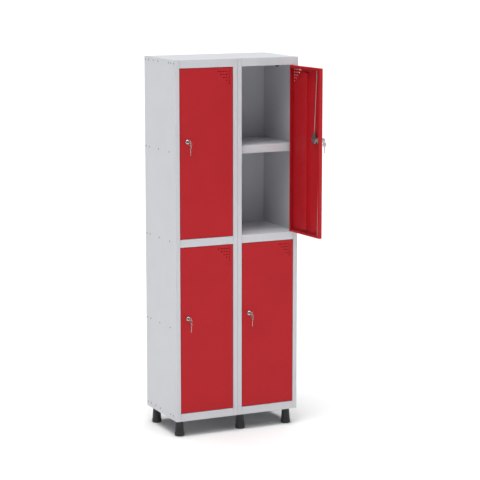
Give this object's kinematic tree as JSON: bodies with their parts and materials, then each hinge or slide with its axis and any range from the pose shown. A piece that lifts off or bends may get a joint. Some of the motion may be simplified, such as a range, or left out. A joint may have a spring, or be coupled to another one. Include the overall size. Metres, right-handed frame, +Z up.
{
  "type": "locker cabinet",
  "caption": "Free-standing sheet steel locker cabinet on round plastic feet, with side by side modules, stacked compartments, hinged vented doors and key locks that work locking rods.",
  "frame": {"origin": "centre of the front left foot's underside, on the floor", "axes": "+X to the right along the front, +Y towards the back, +Z up"},
  "size_m": [0.7292, 0.6803, 1.939],
  "materials": {
    "grey_paint": "light grey powder coat",
    "red_paint": "red powder coat",
    "black_plastic": "black moulded plastic",
    "chrome": "chrome plate",
    "zinc_steel": "zinc plated steel",
    "nickel_brass": "nickel plated key and ring"
  },
  "bodies": {
    "cabinet": {"front_left_foot": "black_plastic", "front_middle_foot": "black_plastic", "front_right_foot": "black_plastic", "left_lower_garment_hook": "black_plastic", "left_lower_inner_shelf": "grey_paint", "left_module_back_panel": "grey_paint", "left_module_base": "grey_paint", "left_module_left_side_panel": "grey_paint", "left_module_middle_floor": "grey_paint", "left_module_right_side_panel": "grey_paint", "left_module_top_panel": "grey_paint", "left_upper_garment_hook": "black_plastic", "left_upper_inner_shelf": "grey_paint", "lower_module_joining_bolt": "zinc_steel", "rear_left_foot": "black_plastic", "rear_middle_foot": "black_plastic", "rear_right_foot": "black_plastic", "right_lower_garment_hook": "black_plastic", "right_lower_inner_shelf": "grey_paint", "right_module_back_panel": "grey_paint", "right_module_base": "grey_paint", "right_module_left_side_panel": "grey_paint", "right_module_middle_floor": "grey_paint", "right_module_right_side_panel": "grey_paint", "right_module_top_panel": "grey_paint", "right_upper_garment_hook": "black_plastic", "right_upper_inner_shelf": "grey_paint", "upper_module_joining_bolt": "zinc_steel"},
    "left_lower_door": {"left_lower_door_pan": "red_paint", "left_lower_door_stiffener": "red_paint", "left_lower_lock_cylinder": "chrome"},
    "left_lower_lock": {"left_lower_lock_rotor": "zinc_steel", "left_lower_key": "nickel_brass"},
    "left_lower_ring": {"left_lower_key_ring": "nickel_brass"},
    "left_lower_rod_up": {"left_lower_upper_rod": "zinc_steel"},
    "left_lower_rod_down": {"left_lower_lower_rod": "zinc_steel"},
    "left_upper_door": {"left_upper_door_pan": "red_paint", "left_upper_door_stiffener": "red_paint", "left_upper_lock_cylinder": "chrome"},
    "left_upper_lock": {"left_upper_lock_rotor": "zinc_steel", "left_upper_key": "nickel_brass"},
    "left_upper_ring": {"left_upper_key_ring": "nickel_brass"},
    "left_upper_rod_up": {"left_upper_upper_rod": "zinc_steel"},
    "left_upper_rod_down": {"left_upper_lower_rod": "zinc_steel"},
    "right_lower_door": {"right_lower_door_pan": "red_paint", "right_lower_door_stiffener": "red_paint", "right_lower_lock_cylinder": "chrome"},
    "right_lower_lock": {"right_lower_lock_rotor": "zinc_steel", "right_lower_key": "nickel_brass"},
    "right_lower_ring": {"right_lower_key_ring": "nickel_brass"},
    "right_lower_rod_up": {"right_lower_upper_rod": "zinc_steel"},
    "right_lower_rod_down": {"right_lower_lower_rod": "zinc_steel"},
    "right_upper_door": {"right_upper_door_pan": "red_paint", "right_upper_door_stiffener": "red_paint", "right_upper_lock_cylinder": "chrome"},
    "right_upper_lock": {"right_upper_lock_rotor": "zinc_steel", "right_upper_key": "nickel_brass"},
    "right_upper_ring": {"right_upper_key_ring": "nickel_brass"},
    "right_upper_rod_up": {"right_upper_upper_rod": "zinc_steel"},
    "right_upper_rod_down": {"right_upper_lower_rod": "zinc_steel"}
  },
  "joints": [
    {"name": "left_lower_door_swing", "type": "hinge", "parent": "cabinet", "child": "left_lower_door", "pos_m": [0.2787, -0.044, 0.127], "axis": [0, 0, 1], "range_deg": [0, 105]},
    {"name": "left_lower_lock_turn", "type": "hinge", "parent": "left_lower_door", "child": "left_lower_lock", "pos_m": [0.031, -0.049, 0.622], "axis": [0, -1, 0], "range_deg": [0, 89.8]},
    {"name": "left_lower_ring_swing", "type": "hinge", "parent": "left_lower_lock", "child": "left_lower_ring", "pos_m": [0.031, -0.086, 0.622], "axis": [1, 0, 0], "range_deg": [-60, 5]},
    {"name": "left_lower_upper_rod_slide", "type": "slide", "parent": "left_lower_door", "child": "left_lower_rod_up", "axis": [0, 0, 1], "range_m": [0, 0.0198]},
    {"name": "left_lower_lower_rod_slide", "type": "slide", "parent": "left_lower_door", "child": "left_lower_rod_down", "axis": [0, 0, -1], "range_m": [0, 0.0198]},
    {"name": "left_upper_door_swing", "type": "hinge", "parent": "cabinet", "child": "left_upper_door", "pos_m": [0.2787, -0.044, 1.034], "axis": [0, 0, 1], "range_deg": [0, 105]},
    {"name": "left_upper_lock_turn", "type": "hinge", "parent": "left_upper_door", "child": "left_upper_lock", "pos_m": [0.031, -0.049, 1.529], "axis": [0, -1, 0], "range_deg": [0, 89.8]},
    {"name": "left_upper_ring_swing", "type": "hinge", "parent": "left_upper_lock", "child": "left_upper_ring", "pos_m": [0.031, -0.086, 1.529], "axis": [1, 0, 0], "range_deg": [-60, 5]},
    {"name": "left_upper_upper_rod_slide", "type": "slide", "parent": "left_upper_door", "child": "left_upper_rod_up", "axis": [0, 0, 1], "range_m": [0, 0.0198]},
    {"name": "left_upper_lower_rod_slide", "type": "slide", "parent": "left_upper_door", "child": "left_upper_rod_down", "axis": [0, 0, -1], "range_m": [0, 0.0198]},
    {"name": "right_lower_door_swing", "type": "hinge", "parent": "cabinet", "child": "right_lower_door", "pos_m": [0.624, -0.044, 0.127], "axis": [0, 0, 1], "range_deg": [0, 105]},
    {"name": "right_lower_lock_turn", "type": "hinge", "parent": "right_lower_door", "child": "right_lower_lock", "pos_m": [0.3763, -0.049, 0.622], "axis": [0, -1, 0], "range_deg": [0, 89.8]},
    {"name": "right_lower_ring_swing", "type": "hinge", "parent": "right_lower_lock", "child": "right_lower_ring", "pos_m": [0.3763, -0.086, 0.622], "axis": [1, 0, 0], "range_deg": [-60, 5]},
    {"name": "right_lower_upper_rod_slide", "type": "slide", "parent": "right_lower_door", "child": "right_lower_rod_up", "axis": [0, 0, 1], "range_m": [0, 0.0198]},
    {"name": "right_lower_lower_rod_slide", "type": "slide", "parent": "right_lower_door", "child": "right_lower_rod_down", "axis": [0, 0, -1], "range_m": [0, 0.0198]},
    {"name": "right_upper_door_swing", "type": "hinge", "parent": "cabinet", "child": "right_upper_door", "pos_m": [0.624, -0.044, 1.034], "axis": [0, 0, 1], "range_deg": [-94, 11]},
    {"name": "right_upper_lock_turn", "type": "hinge", "parent": "right_upper_door", "child": "right_upper_lock", "pos_m": [0.64627, -0.29075, 1.529], "axis": [0.9976, 0.0698, 0], "range_deg": [0, 89.8]},
    {"name": "right_upper_ring_swing", "type": "hinge", "parent": "right_upper_lock", "child": "right_upper_ring", "pos_m": [0.68318, -0.28817, 1.529], "axis": [-0.0698, 0.9976, 0], "range_deg": [-60, 5]},
    {"name": "right_upper_upper_rod_slide", "type": "slide", "parent": "right_upper_door", "child": "right_upper_rod_up", "axis": [0, 0, 1], "range_m": [0, 0.0198]},
    {"name": "right_upper_lower_rod_slide", "type": "slide", "parent": "right_upper_door", "child": "right_upper_rod_down", "axis": [0, 0, -1], "range_m": [0, 0.0198]}
  ],
  "couplings": [
    {"joint": "left_lower_lock_turn", "follows": "left_lower_upper_rod_slide", "rad_per_m": 79.157},
    {"joint": "left_lower_lower_rod_slide", "follows": "left_lower_upper_rod_slide", "ratio": 1},
    {"joint": "left_upper_lock_turn", "follows": "left_upper_upper_rod_slide", "rad_per_m": 79.157},
    {"joint": "left_upper_lower_rod_slide", "follows": "left_upper_upper_rod_slide", "ratio": 1},
    {"joint": "right_lower_lock_turn", "follows": "right_lower_upper_rod_slide", "rad_per_m": 79.157},
    {"joint": "right_lower_lower_rod_slide", "follows": "right_lower_upper_rod_slide", "ratio": 1},
    {"joint": "right_upper_lock_turn", "follows": "right_upper_upper_rod_slide", "rad_per_m": 79.157},
    {"joint": "right_upper_lower_rod_slide", "follows": "right_upper_upper_rod_slide", "ratio": 1}
  ]
}
